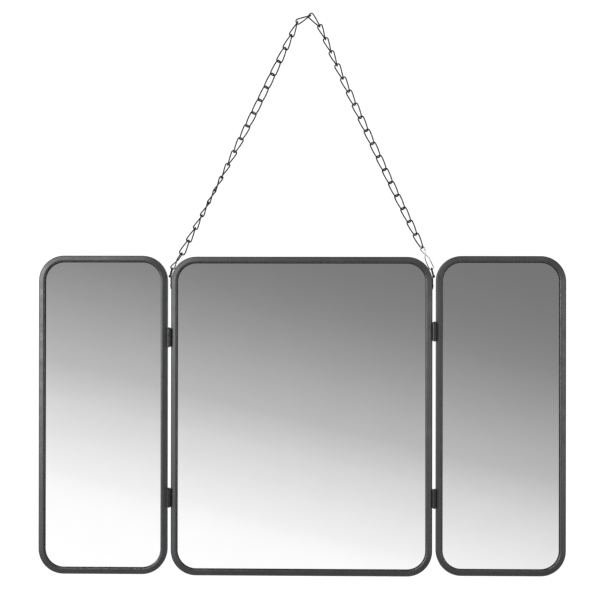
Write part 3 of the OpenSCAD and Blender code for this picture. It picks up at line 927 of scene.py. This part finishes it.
class MIRROR_OT_connecting_links(bpy.types.Operator):
    """Make the crossed connecting link between each end of the chain and its D-ring"""

    bl_idname = "mirror.connecting_links"
    bl_label = "Connecting Links"

    def left_link(self, sizes):
        """The dark link, laid from its loop in the D-ring to its eye in the chain."""
        radius = sizes.left_wire
        eye, loop = sizes.eye_width / 2 - radius, sizes.left_loop / 2 - radius
        seat = RING_WIRE + radius + sizes.end_play
        leg = sizes.left_span + seat - loop - eye
        twist = sizes.eye_roll - sizes.loop_roll
        link = wire_link(leg, loop, eye, loop, eye, radius, twist, END_TWIST_SHARE)
        place_link(link, ring_top("left"), run_end("left", sizes), seat, loop, sizes.loop_roll)
        return link

    def right_link(self, sizes):
        """The pale link, laid from its eye in the chain to its loop in the D-ring."""
        radius = sizes.right_wire
        eye, loop = sizes.eye_width / 2 - radius, sizes.right_loop / 2 - radius
        seat = sizes.wire_radius + radius + sizes.end_play
        ring_seat = RING_WIRE + radius + sizes.end_play
        leg = sizes.right_span + seat + ring_seat - loop - eye
        link = wire_link(leg, eye, loop, eye, loop, radius, sizes.right_twist, END_TWIST_SHARE)
        place_link(link, run_end("right", sizes), ring_top("right"), seat, eye, 0)
        return link

    def execute(self, context):
        sizes = context.scene.chain_sizes
        left, right = self.left_link(sizes), self.right_link(sizes)
        for link, side, slot in ((left, "left", "chain_black"), (right, "right", "zinc_steel")):
            link.name = side + "_crossed_link"
            dress(link, slot)
            settle(link, "chain", slot, side + "_end_link")
        return {"FINISHED"}


class MIRROR_OT_studio(bpy.types.Operator):
    """Set up the pale floor, the soft light and the camera of the photograph"""

    bl_idname = "mirror.studio"
    bl_label = "Studio"

    def maths(self, tree, operation, *values):
        """The result of a math node. Each value is a number or another node's output."""
        node = tree.nodes.new("ShaderNodeMath")
        node.operation = operation
        for socket, value in zip(node.inputs, values):
            if isinstance(value, (int, float)):
                socket.default_value = value
            else:
                tree.links.new(value, socket)
        return node.outputs["Value"]

    def smooth_step(self, tree, value, start, end, low=0, high=1):
        node = tree.nodes.new("ShaderNodeMapRange")
        node.interpolation_type = "SMOOTHSTEP"
        for socket, setting in (("From Min", start), ("From Max", end), ("To Min", low), ("To Max", high)):
            node.inputs[socket].default_value = setting
        tree.links.new(value, node.inputs["Value"])
        return node.outputs["Result"]

    def front(self, tree, direction):
        """The light in front of the mirror, which falls off upwards and to the right."""
        depth = self.maths(tree, "MULTIPLY", direction["Y"], -1)
        depth = self.maths(tree, "MAXIMUM", depth, FRONT_LEAST_DEPTH)
        height = self.maths(tree, "MULTIPLY_ADD", direction["X"], FRONT_LEAN, direction["Z"])
        slope = self.maths(tree, "DIVIDE", height, depth)
        share = self.maths(tree, "MULTIPLY_ADD", slope, 1 / FRONT_SPAN, -FRONT_START / FRONT_SPAN)
        ramp = tree.nodes.new("ShaderNodeValToRGB")
        ramp.color_ramp.interpolation = "B_SPLINE"
        elements = ramp.color_ramp.elements
        for position, _ in FRONT_STOPS[len(elements):]:
            elements.new(position)
        for element, (position, value) in zip(elements, FRONT_STOPS):
            element.position = position
            element.color = (value, value, value, 1)
        tree.links.new(share, ramp.inputs["Fac"])
        return ramp.outputs["Color"]

    def world(self, scene):
        """White behind the mirror, the front's light before it, and dark below."""
        world = bpy.data.worlds.new("Soft studio")
        world.use_nodes = True
        tree = world.node_tree
        split = tree.nodes.new("ShaderNodeSeparateXYZ")
        tree.links.new(tree.nodes.new("ShaderNodeTexCoord").outputs["Generated"], split.inputs["Vector"])
        direction = split.outputs
        mix = tree.nodes.new("ShaderNodeMix")
        mix.data_type = "RGBA"
        tree.links.new(self.smooth_step(tree, direction["Y"], *WHITE_BEHIND), mix.inputs[MIX_FACTOR])
        tree.links.new(self.front(tree, direction), mix.inputs[MIX_BASE])
        mix.inputs[MIX_OVER].default_value = (1, 1, 1, 1)
        strength = self.smooth_step(tree, direction["Z"], *DARK_BELOW, *STRENGTHS)
        background = tree.nodes["Background"]
        tree.links.new(mix.outputs[MIX_RESULT], background.inputs["Color"])
        tree.links.new(strength, background.inputs["Strength"])
        scene.world = world

    def floor(self, drop):
        floor = add_box((0, FLOOR_MIDDLE, -drop - FLOOR_SIZE[2] / 2), FLOOR_SIZE)
        apply_modifier(floor, "BEVEL", width=FLOOR_ROUNDING, segments=EDGE_SEGMENTS)
        floor.name = "studio_floor"
        dress(floor, "floor")

    def softbox(self, name, place, aim, size, watts):
        deselect_all()
        bpy.ops.object.light_add(type="AREA", location=place)
        lamp = bpy.context.object
        lamp.name = name
        lamp.rotation_euler = (Vector(aim) - Vector(place)).to_track_quat("-Z", "Y").to_euler()
        lamp.data.shape = "RECTANGLE"
        lamp.data.size, lamp.data.size_y = size
        lamp.data.energy = watts

    def camera(self, scene, sizes):
        deselect_all()
        bpy.ops.object.camera_add(location=(sizes.camera_x, -sizes.distance, sizes.camera_z))
        camera = bpy.context.object
        camera.name = "photo_camera"
        turn = Matrix.Rotation(sizes.yaw, 3, "Z") @ Matrix.Rotation(math.pi / 2 + sizes.pitch, 3, "X")
        camera.rotation_euler = (turn @ Matrix.Rotation(sizes.roll, 3, "Z")).to_euler()
        camera.data.sensor_width = SENSOR_WIDTH
        camera.data.lens = sizes.lens
        camera.data.clip_start, camera.data.clip_end = NEAREST, FARTHEST
        scene.camera = camera

    def execute(self, context):
        scene, sizes = context.scene, context.scene.studio_sizes
        self.world(scene)
        self.floor(sizes.floor_drop)
        for name, place, aim, size, setting in SOFTBOXES:
            self.softbox(name, place, aim, size, getattr(sizes, setting))
        self.camera(scene, sizes)
        scene.view_settings.view_transform = "Standard"
        scene.view_settings.look = "None"
        return {"FINISHED"}


STEPS = (
    "tube_frames", "mirror_panes", "pane_seals", "backboards", "board_screws", "hinges", "hangers",
    "chain", "connecting_links", "studio",
)
GROUPS = {
    "chain_sizes": ChainSizes,
    "mirror_sizes": MirrorSizes,
    "mirror_colours": MirrorColours,
    "studio_sizes": StudioSizes,
}


class MIRROR_PT_panel(bpy.types.Panel):
    """Sidebar panel that lists the mirror's pieces and their sizes"""

    bl_idname = "MIRROR_PT_panel"
    bl_label = "Trifold Mirror"
    bl_space_type = "VIEW_3D"
    bl_region_type = "UI"
    bl_category = "Mirror"

    def draw(self, context):
        for step in STEPS:
            self.layout.operator("mirror." + step)
        for name, group in GROUPS.items():
            box = self.layout.box()
            box.label(text=group.__doc__)
            for setting in group.__annotations__:
                box.prop(getattr(context.scene, name), setting)


CLASSES = (
    *GROUPS.values(),
    MIRROR_OT_tube_frames, MIRROR_OT_mirror_panes, MIRROR_OT_pane_seals, MIRROR_OT_backboards,
    MIRROR_OT_board_screws, MIRROR_OT_hinges, MIRROR_OT_hangers, MIRROR_OT_chain,
    MIRROR_OT_connecting_links, MIRROR_OT_studio, MIRROR_PT_panel,
)


def register():
    for item in CLASSES:
        bpy.utils.register_class(item)
    for name, group in GROUPS.items():
        setattr(bpy.types.Scene, name, PointerProperty(type=group))


def unregister():
    for name in GROUPS:
        delattr(bpy.types.Scene, name)
    for item in reversed(CLASSES):
        bpy.utils.unregister_class(item)


def main():
    register()
    for step in STEPS:
        getattr(bpy.ops.mirror, step)()


if __name__ == "__main__":
    main()
